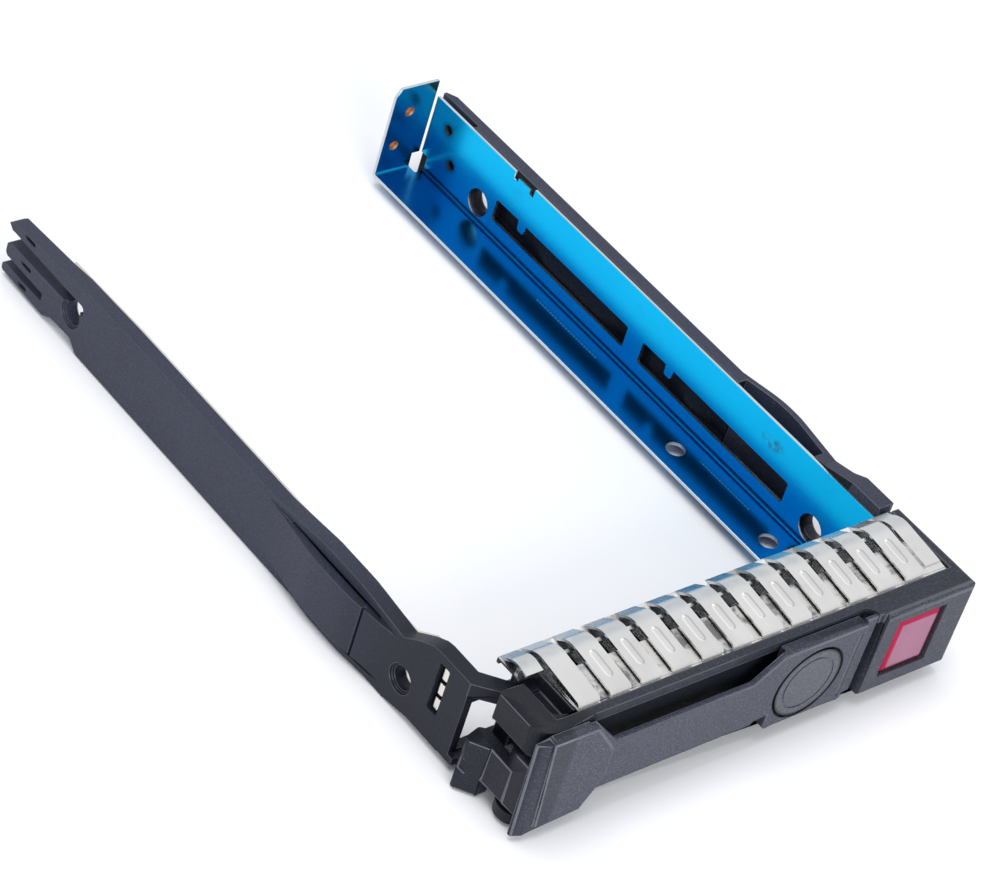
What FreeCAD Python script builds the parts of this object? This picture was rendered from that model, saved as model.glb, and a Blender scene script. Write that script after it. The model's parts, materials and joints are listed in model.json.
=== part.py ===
"""Hot swap drive caddy for a 2.5 inch drive, in millimetres.

X runs across the caddy, Y from the lever at the front (-Y) to the rail tips, Z up.
Every size sits in one sheet, and each sub-part is an object of its own.
"""
import FreeCAD, Part
import math
import os
import Sketcher

os.makedirs("parts", exist_ok=True)
doc = FreeCAD.newDocument("HotSwapDriveCaddy")

SIZES = {
    "frame_width": 76.0,       # over the plain outer faces of the two rails
    "screw_spacing": 76.6,     # between the two drive screws of one side
    "rear_screw": 14.0,        # drive stop to the rear drive screws
    "front_screw": 10.4,       # bezel's rear face to the front drive screws
    "screw_line": 3.0,         # drive screws above the drive seat
    "screw_bore": 1.7,         # radius of the screw bores
    "tip_reach": 2.5,          # left rail's tips past the plane of the drive stop
    "seat_height": 2.0,        # drive seat above the undersides of the rails
    "bow_reach": 1.4,          # spring bows past the rails' outer faces
    "bezel_depth": 16.0,
    "bezel_height": 14.9,      # above the drive seat
    "rim_depth": 0.7,          # rim above the ground strip's bed
    "button_travel": 1.8,
    "rail_top": 9.0,           # left rail above the drive seat
    "rail_thickness": 2.4,
    "liner_gauge": 0.5,
    "plate_gauge": 0.55,
    "plate_top": 12.75,        # right wall above the drive seat
    "flange_width": 8.2,
    "tab_height": 15.6,
    "guide_top": 12.9,
    "guide_thickness": 2.25,
    "finger_gap": 1.73,
    "finger_gauge": 0.3,
    "finger_count": 12.0,
    "lever_plate": 1.9,
    "ring_radius": 5.6,
    "pin_radius": 0.9,
    "running_gap": 0.06,
}


class Term:
    """A value together with the formula that gives it from the sheet."""

    def __init__(self, value, formula=None):
        self.value = float(value)
        self.formula = formula or "({:.6g})".format(self.value)

    def joined(self, sign, other, value):
        return Term(value, "({} {} {})".format(self.formula, sign, other.formula))

    def __add__(self, other):
        other = term(other)
        return self.joined("+", other, self.value + other.value)

    def __sub__(self, other):
        other = term(other)
        return self.joined("-", other, self.value - other.value)

    def __mul__(self, other):
        other = term(other)
        return self.joined("*", other, self.value * other.value)

    def __truediv__(self, other):
        other = term(other)
        return self.joined("/", other, self.value / other.value)

    def __radd__(self, other):
        return term(other) + self

    def __rsub__(self, other):
        return term(other) - self

    def __rmul__(self, other):
        return term(other) * self

    def __neg__(self):
        return term(0) - self


def term(value):
    return value if isinstance(value, Term) else Term(value)


def make_sheet():
    sheet = doc.addObject("Spreadsheet::Sheet", "Sizes")
    for row, (name, value) in enumerate(SIZES.items(), start=1):
        sheet.set("A{}".format(row), name)
        sheet.set("B{}".format(row), str(value))
        sheet.setAlias("B{}".format(row), name)
    doc.recompute()


def size(name):
    return Term(SIZES[name], "Sizes." + name)


def bind(target, path, value):
    target.setExpression(path, term(value).formula)


# ---------------------------------------------------------------- sketches

def corner_round(corner, before, after, radius):
    """Ends and centre of the arc that rounds one corner, and its turn."""
    back = (before - corner).normalize()
    ahead = (after - corner).normalize()
    half = back.getAngle(ahead) / 2
    reach = radius / math.tan(half)
    centre = corner + (back + ahead).normalize() * (radius / math.sin(half))
    turn = back.cross(ahead).z
    return corner + back * reach, corner + ahead * reach, centre, turn


def outline(corners):
    """Closed outline through (a, b) or rounded (a, b, radius) corners."""
    def draw(sketch):
        places = [(term(c[0]), term(c[1])) for c in corners]
        points = [FreeCAD.Vector(a.value, b.value, 0) for a, b in places]
        radii = [term(c[2]) if len(c) > 2 else None for c in corners]
        count = len(corners)
        first = sketch.GeometryCount
        leaving, arriving, arcs = list(points), list(points), {}
        for i, radius in enumerate(radii):
            if radius:
                into, out, centre, turn = corner_round(
                    points[i], points[i - 1], points[(i + 1) % count], radius.value)
                arriving[i], leaving[i] = into, out
                arcs[i] = (into, out, centre, turn)
        lines = [Part.LineSegment(leaving[i], arriving[(i + 1) % count])
                 for i in range(count)]
        sketch.addGeometry(lines, False)
        for i in range(count):
            before, after = first + (i - 1) % count, first + i
            if i in arcs:
                corner = round_corner(sketch, points[i], radii[i], arcs[i], before, after)
                place_point(sketch, corner, 1, places[i])
            else:
                sketch.addConstraint(Sketcher.Constraint("Coincident", before, 2, after, 1))
                place_point(sketch, after, 1, places[i])
    return draw


def round_corner(sketch, point, radius, arc, before, after):
    into, out, centre, turn = arc
    start, end = (into, out) if turn < 0 else (out, into)
    angles = [math.atan2((p - centre).y, (p - centre).x) for p in (start, end)]
    circle = Part.Circle(centre, FreeCAD.Vector(0, 0, 1), radius.value)
    arc_id = sketch.addGeometry(Part.ArcOfCircle(circle, angles[0], angles[1]), False)
    corner_id = sketch.addGeometry(Part.Point(point), True)
    into_end, out_end = (1, 2) if turn < 0 else (2, 1)
    sketch.addConstraint([
        Sketcher.Constraint("Tangent", before, 2, arc_id, into_end),
        Sketcher.Constraint("Tangent", arc_id, out_end, after, 1),
        Sketcher.Constraint("PointOnObject", corner_id, 1, before),
        Sketcher.Constraint("PointOnObject", corner_id, 1, after),
    ])
    fixed = sketch.addConstraint(Sketcher.Constraint("Radius", arc_id, radius.value))
    bind(sketch, "Constraints[{}]".format(fixed), radius)
    return corner_id


def place_point(sketch, geometry, end, place):
    for kind, value in zip(("DistanceX", "DistanceY"), place):
        fixed = sketch.addConstraint(
            Sketcher.Constraint(kind, -1, 1, geometry, end, value.value))
        bind(sketch, "Constraints[{}]".format(fixed), value)


def box(a0, b0, a1, b1, radius=None):
    corners = [(a0, b0), (a1, b0), (a1, b1), (a0, b1)]
    if radius is not None:
        corners = [(a, b, radius) for a, b in corners]
    return outline(corners)


def circle(a, b, radius):
    def draw(sketch):
        centre = (term(a), term(b))
        at = FreeCAD.Vector(centre[0].value, centre[1].value, 0)
        shape = Part.Circle(at, FreeCAD.Vector(0, 0, 1), term(radius).value)
        index = sketch.addGeometry(shape, False)
        place_point(sketch, index, 3, centre)
        fixed = sketch.addConstraint(
            Sketcher.Constraint("Radius", index, term(radius).value))
        bind(sketch, "Constraints[{}]".format(fixed), radius)
    return draw


# ---------------------------------------------------------------- features

PLANES = {"X": ("YZ_Plane", 1), "Y": ("XZ_Plane", -1), "Z": ("XY_Plane", 1)}


def new_body(name):
    body = doc.addObject("PartDesign::Body", name)
    body.Label = name
    body.AllowCompound = True
    return body


def new_sketch(body, name, axis, offset, shapes):
    role, sense = PLANES[axis]
    plane = next(p for p in body.Origin.OriginFeatures if p.Role == role)
    sketch = body.newObject("Sketcher::SketchObject", name)
    sketch.AttachmentSupport = [(plane, "")]
    sketch.MapMode = "FlatFace"
    bind(sketch, "AttachmentOffset.Base.z", term(offset) * sense)
    for draw in shapes:
        draw(sketch)
    return sketch


def settle(feature):
    doc.recompute()
    if "Invalid" in feature.State or "Error" in feature.State or not feature.Shape.isValid():
        raise RuntimeError("{} {}: {}".format(feature.Name, feature.State, feature.getStatusString()))
    return feature


def add(body, name, axis, low, high, *shapes):
    """Pad the shapes, drawn across the axis, from low to high along it."""
    start = high if axis == "Y" else low
    sketch = new_sketch(body, body.Name + name + "Sketch", axis, start, shapes)
    feature = body.newObject("PartDesign::Pad", body.Name + name)
    feature.Profile = sketch
    bind(feature, "Length", term(high) - low)
    return settle(feature)


def cut(body, name, axis, low, high, *shapes):
    """Pocket the shapes, drawn across the axis, from low to high along it."""
    start = low if axis == "Y" else high
    before = body.Shape.Volume
    sketch = new_sketch(body, body.Name + name + "Sketch", axis, start, shapes)
    feature = body.newObject("PartDesign::Pocket", body.Name + name)
    feature.Profile = sketch
    bind(feature, "Length", term(high) - low)
    settle(feature)
    if body.Shape.Volume > before - 1e-4:
        raise RuntimeError(feature.Name + " removes nothing")
    return feature


def repeat(body, features, axis, pitch, count):
    pattern = body.newObject("PartDesign::LinearPattern", features[0].Name + "Row")
    pattern.Originals = features
    line = next(p for p in body.Origin.OriginFeatures if p.Role == axis + "_Axis")
    pattern.Direction = (line, [""])
    bind(pattern, "Length", term(pitch) * (term(count) - 1))
    pattern.Occurrences = int(round(term(count).value))
    bind(pattern, "Occurrences", count)
    body.Tip = pattern
    return settle(pattern)


# ---------------------------------------------------------------- datums

make_sheet()
tip = (size("bezel_depth") + size("front_screw") + size("screw_spacing")
       + size("rear_screw") + size("tip_reach")) / 2
front = -tip
stop = tip - size("tip_reach")
seat = size("seat_height")
right = size("frame_width") / 2
left = -right
bezel_rear = front + size("bezel_depth")
bezel_top = seat + size("bezel_height")
strip_bed = bezel_top - size("rim_depth")
rail_top = seat + size("rail_top")
screw_z = seat + size("screw_line")
rear_y = stop - size("rear_screw")
front_y = bezel_rear + size("front_screw")
middle_y = (rear_y + front_y) / 2
bore = size("screw_bore")
bow = size("bow_reach")
gauge = size("plate_gauge")
rail_in = left + size("rail_thickness")
liner_in = rail_in + size("liner_gauge")
plate_in = right - size("guide_thickness") - gauge - 0.1
plate_out = plate_in + gauge
guide_out = plate_out + size("guide_thickness")
free_edge = plate_out - gauge - size("flange_width")
block = right - 16.6
ring_x = right - 28.5
ring_z = seat + 7.2
shaft = right - 9
pivot_x = left + 3
pivot_y = front + 4.8
lever_face = front + 0.45
lever_in = front + size("lever_plate")
pin = size("pin_radius")
gap = size("running_gap")
window = (right - 14.2, right - 5.25, seat + 2.75, bezel_top - 1.95)


# ---------------------------------------------------------------- rails

def make_left_rail():
    """Moulded left rail with its rear fork, spring bow and front frame."""
    body = new_body("left_rail")
    add(body, "Web", "X", left, rail_in, outline([
        (bezel_rear + 7.5, seat - 1.2), (bezel_rear + 12.5, 0, 2), (rear_y - 2.7, 0),
        (rear_y - 0.9, seat - 0.4, 1), (rear_y + 3.8, seat - 0.7), (rear_y + 5.8, seat - 1.7),
        (stop + 2.2, seat - 1.3, 0.5), (stop + 2.2, seat + 0.1, 0.5),
        (rear_y + 6.6, seat + 0.2, 0.3), (rear_y + 6.6, seat + 1.5, 0.3),
        (stop + 2, seat + 1.5, 0.8), (stop + 2, seat + 3.9, 0.8),
        (rear_y - 2.5, seat + 4.2, 0.7), (rear_y - 2.5, seat + 6.0, 0.7),
        (stop + 1.5, seat + 6.0, 0.7), (tip, seat + 6.7), (stop + 1.6, rail_top - 1.6),
        (rear_y + 4, rail_top - 0.8), (rear_y - 0.2, rail_top - 0.3), (rear_y - 12, rail_top),
        (bezel_rear + 39, rail_top, 20), (bezel_rear + 29, rail_top + 1, 20),
        (bezel_rear + 21, rail_top + 1, 20), (bezel_rear + 12, rail_top, 20),
        (bezel_rear + 7.5, rail_top)]))
    add(body, "Frame", "X", left, rail_in, outline([
        (bezel_rear - 1, seat - 1), (bezel_rear + 7.6, seat - 1.2), (bezel_rear + 12.5, rail_top - 0.3),
        (bezel_rear + 8.7, rail_top + 2.2), (bezel_rear + 6.7, rail_top + 3.2),
        (bezel_rear + 5.5, rail_top + 3.4), (bezel_rear - 0.4, rail_top + 3.4),
        (bezel_rear - 0.9, rail_top + 0.9), (bezel_rear - 0.9, seat + 0.6)]))
    add(body, "Strap", "Z", rail_top + 1.2, rail_top + 3.4, outline([
        (left, bezel_rear + 0.6), (left, bezel_rear - 0.8), (left + 4.4, bezel_rear - 5.1),
        (left + 8, bezel_rear - 5.1), (left + 8, bezel_rear - 2.9), (left + 5.6, bezel_rear - 2.9),
        (rail_in, bezel_rear + 0.6)]))
    add(body, "Foot", "Z", seat - 1.1, seat, outline([
        (left, bezel_rear + 1), (left, bezel_rear - 1.9), (left + 1.4, bezel_rear - 2.2),
        (left + 13.5, bezel_rear - 2.2), (left + 13.5, bezel_rear + 0.8),
        (left + 1.4, bezel_rear + 0.8)]))
    cut(body, "FootBore", "Z", seat - 1.1, seat, circle(left + 11, bezel_rear - 1.2, 0.85))
    cut(body, "ClipWindow", "X", left, rail_in,
        box(bezel_rear + 2.9, seat + 3.2, bezel_rear + 4.9, rail_top + 2, 0.4))
    cut(body, "InnerRelief", "X", left + 1.3, rail_in,
        box(bezel_rear - 1, seat + 0.4, bezel_rear + 2.2, rail_top + 1.1))
    cut(body, "BowHollow", "X", left, left + 1.3,
        box(bezel_rear + 16.5, seat - 0.4, bezel_rear + 36, rail_top - 0.5, 0.4))
    add(body, "Bow", "Z", seat - 0.2, rail_top - 1, outline([
        (left + 0.9, bezel_rear + 41), (left, bezel_rear + 41),
        (left - bow, bezel_rear + 29.5, 22), (left - bow, bezel_rear + 21.5, 22),
        (left, bezel_rear + 13), (left + 0.9, bezel_rear + 13),
        (left + 0.1, bezel_rear + 21, 18), (left + 0.1, bezel_rear + 30, 18)]))
    add(body, "BowLip", "Z", 0.4, seat - 0.8, outline([
        (left + 0.9, bezel_rear + 35), (left, bezel_rear + 35),
        (left - 0.8, bezel_rear + 28, 22), (left - 0.8, bezel_rear + 21, 22),
        (left, bezel_rear + 14), (left + 0.9, bezel_rear + 14)]))
    cut(body, "BowGroove", "X", left - bow, left - 0.4,
        box(bezel_rear + 18.9, seat - 0.2, bezel_rear + 19.3, rail_top - 1))
    cut(body, "ScrewBores", "X", left, rail_in,
        circle(rear_y, screw_z, bore), circle(front_y, screw_z, bore))
    cut(body, "Countersinks", "X", left, left + 0.5,
        circle(rear_y, screw_z, bore + 0.45), circle(front_y, screw_z, bore + 0.45))
    cut(body, "TipSlots", "X", left, left + 0.6,
        box(stop - 3.9, seat + 6.9, stop - 1.4, seat + 7.5, 0.25),
        box(stop - 4.1, seat + 2.5, stop - 1.6, seat + 3.1, 0.25),
        box(stop - 3.9, seat - 1, stop - 1.9, seat - 0.4, 0.25))
    cut(body, "FlexGroove", "X", rail_in - 0.25, rail_in,
        box(bezel_rear + 6.7, rail_top - 2.6, rear_y - 3, rail_top - 0.6))
    return body


def make_left_liner():
    """Thin steel strip along the inside of the left rail, raised at the front."""
    body = new_body("left_liner")
    add(body, "Strip", "X", rail_in, liner_in, outline([
        (bezel_rear + 7.6, seat + 0.2, 0.4), (rear_y + 4.6, seat + 0.2, 0.4),
        (rear_y + 4.6, rail_top - 0.9, 0.4), (rear_y - 12, rail_top - 0.3),
        (bezel_rear + 12.4, rail_top - 0.3), (bezel_rear + 9, rail_top + 1.9),
        (bezel_rear + 7.6, rail_top + 2.1)]))
    cut(body, "Holes", "X", rail_in, liner_in,
        circle(rear_y, screw_z, bore + 0.6), circle(front_y, screw_z, bore + 0.6))
    return body


def make_flex_circuit():
    """Flat cable in the left rail's groove, from the board to the rear fork."""
    body = new_body("flex_circuit")
    turn = left + 10.7
    add(body, "Tape", "Z", rail_top - 2.4, rail_top - 0.8, outline([
        (rail_in, rear_y - 3.5), (rail_in - 0.2, rear_y - 3.5),
        (rail_in - 0.2, bezel_rear + 7.2), (rail_in + 0.32, bezel_rear + 6.2),
        (rail_in + 0.32, bezel_rear + 0.6), (turn, bezel_rear + 0.6, 0.4),
        (turn, bezel_rear - 2.6), (turn + 0.2, bezel_rear - 2.6),
        (turn + 0.2, bezel_rear + 0.8, 0.6), (rail_in + 0.52, bezel_rear + 0.8),
        (rail_in + 0.52, bezel_rear + 6.3), (rail_in, bezel_rear + 7.3)]))
    return body


def slot(rear, fore, lug):
    """Wall slot between two Y values, with one small lug hanging in its top edge."""
    top = seat + 6.2
    return outline([
        (fore, seat + 2.6, 0.25), (rear, seat + 2.6, 0.25), (rear, top, 0.25),
        (lug + 0.9, top), (lug + 0.7, seat + 4.6, 0.4), (lug - 0.7, seat + 4.6, 0.4),
        (lug - 0.9, top), (fore, top, 0.25)])


def make_right_rail_plate():
    """Folded steel rail: wall, drive flange and the upright stop tab."""
    body = new_body("right_rail_plate")
    bend = 0.35
    top = seat + size("plate_top")
    peak = seat + size("tab_height")
    add(body, "Channel", "Y", bezel_rear, stop - 0.15, outline([
        (free_edge, seat - gauge), (plate_out, seat - gauge, gauge + bend), (plate_out, top),
        (plate_in, top), (plate_in, seat, bend), (free_edge, seat)]))
    add(body, "Tab", "X", free_edge, plate_in - 0.3, outline([
        (stop - 1.6, seat - gauge), (stop + gauge, seat - gauge, gauge + bend),
        (stop + gauge, peak), (stop, peak), (stop, seat, bend), (stop - 1.6, seat)]))
    add(body, "Tongue", "Z", seat - gauge, seat - 0.02,
        box(free_edge, bezel_rear - 5.4, plate_in - 1.2, bezel_rear))
    cut(body, "TabCorners", "Y", stop - 0.2, stop + gauge,
        outline([(free_edge, peak - 1.5), (free_edge + 0.9, peak), (free_edge, peak)]),
        box(plate_in - 1.7, seat - gauge, plate_in, seat + 2.4))
    cut(body, "CornerRelief", "X", plate_in - 1.7, plate_out,
        box(stop - 1.6, seat - gauge, stop - 0.1, seat + 2.4))
    cut(body, "Windows", "X", plate_in, plate_out,
        slot(rear_y - 3.5, middle_y + 3.6, rear_y - 9.6),
        slot(middle_y + 0.1, front_y + 6.1, middle_y - 5.9),
        circle(rear_y, screw_z, bore + 0.5), circle(front_y, screw_z, bore + 0.5),
        circle(rear_y + 9.8, seat + 9.3, 0.85), circle(rear_y + 7.4, seat + 4.4, 0.85))
    cut(body, "TopNotch", "X", plate_in, plate_out, outline([
        (rear_y - 10, top), (rear_y - 10, top - 1.4), (rear_y - 9.1, top - 1.4),
        (rear_y - 9.1, top - 0.6), (rear_y - 6.3, top - 0.6), (rear_y - 6.3, top - 1.2),
        (rear_y - 5.3, top - 1.2), (rear_y - 5.3, top)]))
    cut(body, "FlangeHoles", "Z", seat - gauge, seat,
        circle(free_edge + 3.75, front_y + 2.6, 1.5), circle(free_edge + 3.75, front_y + 23.1, 1.5),
        circle(free_edge + 3.8, bezel_rear - 3.6, 0.85))
    cut(body, "TabHoles", "Y", stop, stop + gauge,
        circle(free_edge + 3.5, seat + 10.9, 0.85), circle(free_edge + 2.2, seat + 4.9, 0.85))
    return body


def leaf(rear, fore, rise):
    """Curved spring leaf seen through a wall slot, between two Y values."""
    skin = plate_out + 1.4
    face = plate_out + 0.3
    return outline([
        (skin, rear), (face, rear - rise, 5), (face, fore + rise, 5), (skin, fore),
        (skin, fore + 1.3), (face + 0.5, fore + rise, 4), (face + 0.5, rear - rise, 4),
        (skin, rear - 1.3)])


def make_right_guide():
    """Plastic guide rail that lines the outside of the folded steel rail."""
    body = new_body("right_guide")
    top = seat + size("guide_top")
    add(body, "Web", "X", plate_out, guide_out, outline([
        (bezel_rear, seat - 1), (bezel_rear + 8, seat - 1), (bezel_rear + 12.5, 0, 2),
        (stop + 0.1, 0), (stop + 0.1, top), (bezel_rear + 12.5, top, 3),
        (bezel_rear + 7, strip_bed), (bezel_rear + 1.5, strip_bed),
        (bezel_rear + 1.2, bezel_top - 1.7), (bezel_rear, bezel_top - 1.7)]))
    add(body, "FrontBlock", "X", guide_out, guide_out + 0.6, outline([
        (bezel_rear + 1.5, seat + 4), (bezel_rear + 7.4, seat + 4), (bezel_rear + 10, top),
        (bezel_rear + 7, strip_bed), (bezel_rear + 1.5, strip_bed)]))
    cut(body, "SlotHollows", "X", plate_out, plate_out + 1.3,
        box(middle_y + 3.2, seat + 2, rear_y - 3.1, seat + 6.9, 0.4),
        box(bezel_rear + 30, seat + 2, middle_y + 0.5, seat + 6.9, 0.4))
    cut(body, "RearRelief", "X", plate_out, plate_out + 0.8,
        box(stop - 8.5, seat + 3, stop + 0.2, top + 0.2))
    cut(body, "RearChamfer", "Z", 0, top, outline([
        (guide_out + 0.1, stop - 1.7), (guide_out + 0.1, stop + 0.2), (guide_out - 1, stop + 0.2)]))
    cut(body, "BowHollow", "X", plate_out, guide_out,
        box(bezel_rear + 14.5, seat + 0.6, bezel_rear + 31, top + 0.2))
    add(body, "Bow", "Z", seat - 1.5, top, outline([
        (guide_out - 0.9, bezel_rear + 32.5), (guide_out, bezel_rear + 32.5),
        (right + bow, bezel_rear + 25.5, 18), (right + bow, bezel_rear + 21.5, 18),
        (guide_out, bezel_rear + 12.5), (guide_out - 0.9, bezel_rear + 12.5),
        (right + 0.4, bezel_rear + 21.5, 16), (right + 0.4, bezel_rear + 25.5, 16)]))
    add(body, "Leaves", "Z", seat + 1.9, seat + 5.6,
        leaf(rear_y - 10.3, middle_y + 5.5, 4.7), leaf(middle_y - 6.6, front_y + 23, 3.2))
    cut(body, "ScrewBores", "X", plate_out, guide_out,
        circle(rear_y, screw_z, bore), circle(front_y, screw_z, bore))
    cut(body, "Countersinks", "X", guide_out - 0.5, guide_out,
        circle(rear_y, screw_z, bore + 0.45), circle(front_y, screw_z, bore + 0.45))
    cut(body, "OuterGroove", "X", guide_out - 0.6, guide_out,
        box(middle_y - 13, seat + 8, rear_y - 6, seat + 10.4, 0.8))
    return body


# ---------------------------------------------------------------- bezel

def make_bezel_housing():
    """Moulded front: button block, lever recess, hollow body and hinge lugs."""
    body = new_body("bezel_housing")
    recess = front + 3.4
    bevel = 0.75
    outer = right + 0.2
    inner = left + 8
    add(body, "Core", "Z", seat, bezel_top, outline([
        (inner, recess), (block, recess), (block, front), (outer - bevel, front),
        (outer, front + bevel), (outer, bezel_rear), (inner, bezel_rear)]))
    add(body, "Rim", "Z", bezel_top - 1.7, bezel_top, outline([
        (left + 2.8, recess + 0.2), (left + 4.8, front + 2.1, 1.4), (left + 7, front + 2.2, 1.4),
        (left + 9.5, front + 2.8, 2), (block - 1.2, front + 2.8, 1.8), (block - 1.2, front + 0.9),
        (block, front + 0.9), (block, recess + 0.6), (left + 4.4, recess + 0.6)]))
    add(body, "RimBack", "Z", strip_bed, bezel_top, outline([
        (left + 2.8, recess), (inner, recess), (inner, recess + 2), (left + 4.4, recess + 2)]))
    add(body, "UpperLug", "Z", bezel_top - 4.3, bezel_top, outline([
        (pivot_x - 2.6, pivot_y - 2.6, 2.5), (pivot_x + 2.6, pivot_y - 2.6, 2.5),
        (pivot_x + 5.2, pivot_y - 1.2), (pivot_x + 5.2, bezel_rear - 5.1),
        (pivot_x - 2.6, bezel_rear - 5.1, 0.5)]))
    add(body, "LowerLug", "Z", seat - 1.5, seat + 0.2, outline([
        (pivot_x - 2.6, pivot_y - 2.6, 2.5), (pivot_x + 2.6, pivot_y - 2.6, 2.5),
        (pivot_x + 7, pivot_y - 1.3), (pivot_x + 7, pivot_y + 2),
        (pivot_x + 2.6, pivot_y + 2.3, 2.2), (pivot_x - 2.6, pivot_y + 2.6, 2.5)]))
    cut(body, "Cavity", "Y", recess + 1.2, bezel_rear - 2.6,
        box(left + 9.4, seat + 1.6, block - 1.8, bezel_top - 2.6, 0.8))
    cut(body, "WallOpenings", "Y", recess - 0.1, recess + 1.4,
        circle(ring_x, ring_z, size("ring_radius") - 1.5))
    cut(body, "CatchOpening", "Y", recess - 0.1, recess + 1.4,
        box(block - 9, seat + 3.4, block - 1.8, seat + 8.6))
    cut(body, "CornerWell", "Z", strip_bed - 2.2, bezel_top, outline([
        (left + 4.6, front + 5.4, 1.6), (left + 8, front + 4.4), (left + 8, bezel_rear - 4.4),
        (left + 4.6, bezel_rear - 4.4)]))
    cut(body, "HookRelief", "Z", seat, seat + 7.4,
        box(inner, pivot_y + 1.8, left + 9.5, bezel_rear - 3))
    cut(body, "BackOpening", "Y", bezel_rear - 2.6, bezel_rear,
        box(left + 9.4, seat + 1.2, right - 1.2, bezel_top - 1.9, 0.8))
    cut(body, "ButtonShaft", "Y", front, bezel_rear - 2.6, box(
        window[0] - 0.05, window[2] - 0.05, window[1] + 0.05, window[3] + 0.05, 0.4))
    cut(body, "WedgeSlot", "X", block - 2.4, window[0] + 1,
        box(front + 5.2, seat + 3.2, bezel_rear - 2.6, seat + 8.6))
    cut(body, "StripBed", "Z", strip_bed, bezel_top,
        box(left + 4.4, front + 4.1, right - 1.8, bezel_rear + 0.4))
    cut(body, "FoldStep", "Z", strip_bed - 0.7, strip_bed,
        box(left + 4.4, bezel_rear - 1, right - 1.8, bezel_rear + 0.4))
    cut(body, "FrontBevels", "X", block - 0.1, outer + 0.1,
        outline([(front - 0.1, bezel_top - bevel), (front + bevel, bezel_top + 0.1),
                 (front - 0.1, bezel_top + 0.1)]),
        outline([(front - 0.1, seat + bevel), (front + bevel, seat - 0.1),
                 (front - 0.1, seat - 0.1)]))
    cut(body, "SideBevel", "Y", front, bezel_rear,
        outline([(outer - bevel, bezel_top + 0.1), (outer + 0.1, bezel_top - bevel),
                 (outer + 0.1, bezel_top + 0.1)]))
    cut(body, "PinBore", "Z", seat - 1.5, bezel_top - 1.2, circle(pivot_x, pivot_y, pin))
    cut(body, "CoverBore", "Y", bezel_rear - 3.4, bezel_rear - 2.6,
        circle(block, bezel_top - 4.3, 0.85))
    cut(body, "FrameBores", "Z", seat, seat + 1.2, circle(left + 11, bezel_rear - 1.2, 0.85),
        circle(free_edge + 3.8, bezel_rear - 3.6, 0.85))
    return body


def make_bezel_back_plate():
    """Cover let into the rear of the bezel."""
    body = new_body("bezel_back_plate")
    add(body, "Cover", "Y", bezel_rear - 1.2, bezel_rear,
        box(left + 9.4, seat + 1.2, right - 1.2, bezel_top - 1.9, 0.8))
    cut(body, "ScrewHoles", "Y", bezel_rear - 1.2, bezel_rear,
        circle(left + 16, bezel_top - 4.3, 0.85), circle(block, bezel_top - 4.3, 0.85))
    cut(body, "CableSlot", "Y", bezel_rear - 1.2, bezel_rear,
        box(left + 10.3, rail_top - 2.8, left + 11.3, rail_top - 0.4))
    return body


def make_cover_screws():
    """Two small screws that hold the cover to the board and the housing."""
    body = new_body("cover_screws")
    place = circle(left + 16, bezel_top - 4.3, 1.5)
    head = add(body, "Head", "Y", bezel_rear, bezel_rear + 0.5, place)
    shank = add(body, "Shank", "Y", bezel_rear - 3.4, bezel_rear,
                circle(left + 16, bezel_top - 4.3, 0.8))
    repeat(body, [head, shank], "X", block - left - 16, 2)
    return body


def make_frame_screws():
    """Screws from below that hold the flange and the left foot to the bezel."""
    body = new_body("frame_screws")
    for name, x, y, under in (("Left", left + 11, bezel_rear - 1.2, seat - 1.1),
                              ("Right", free_edge + 3.8, bezel_rear - 3.6, seat - gauge)):
        add(body, name + "Head", "Z", under - 0.5, under, circle(x, y, 1.5))
        add(body, name + "Shank", "Z", under, seat + 1.1, circle(x, y, 0.8))
    return body


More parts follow.
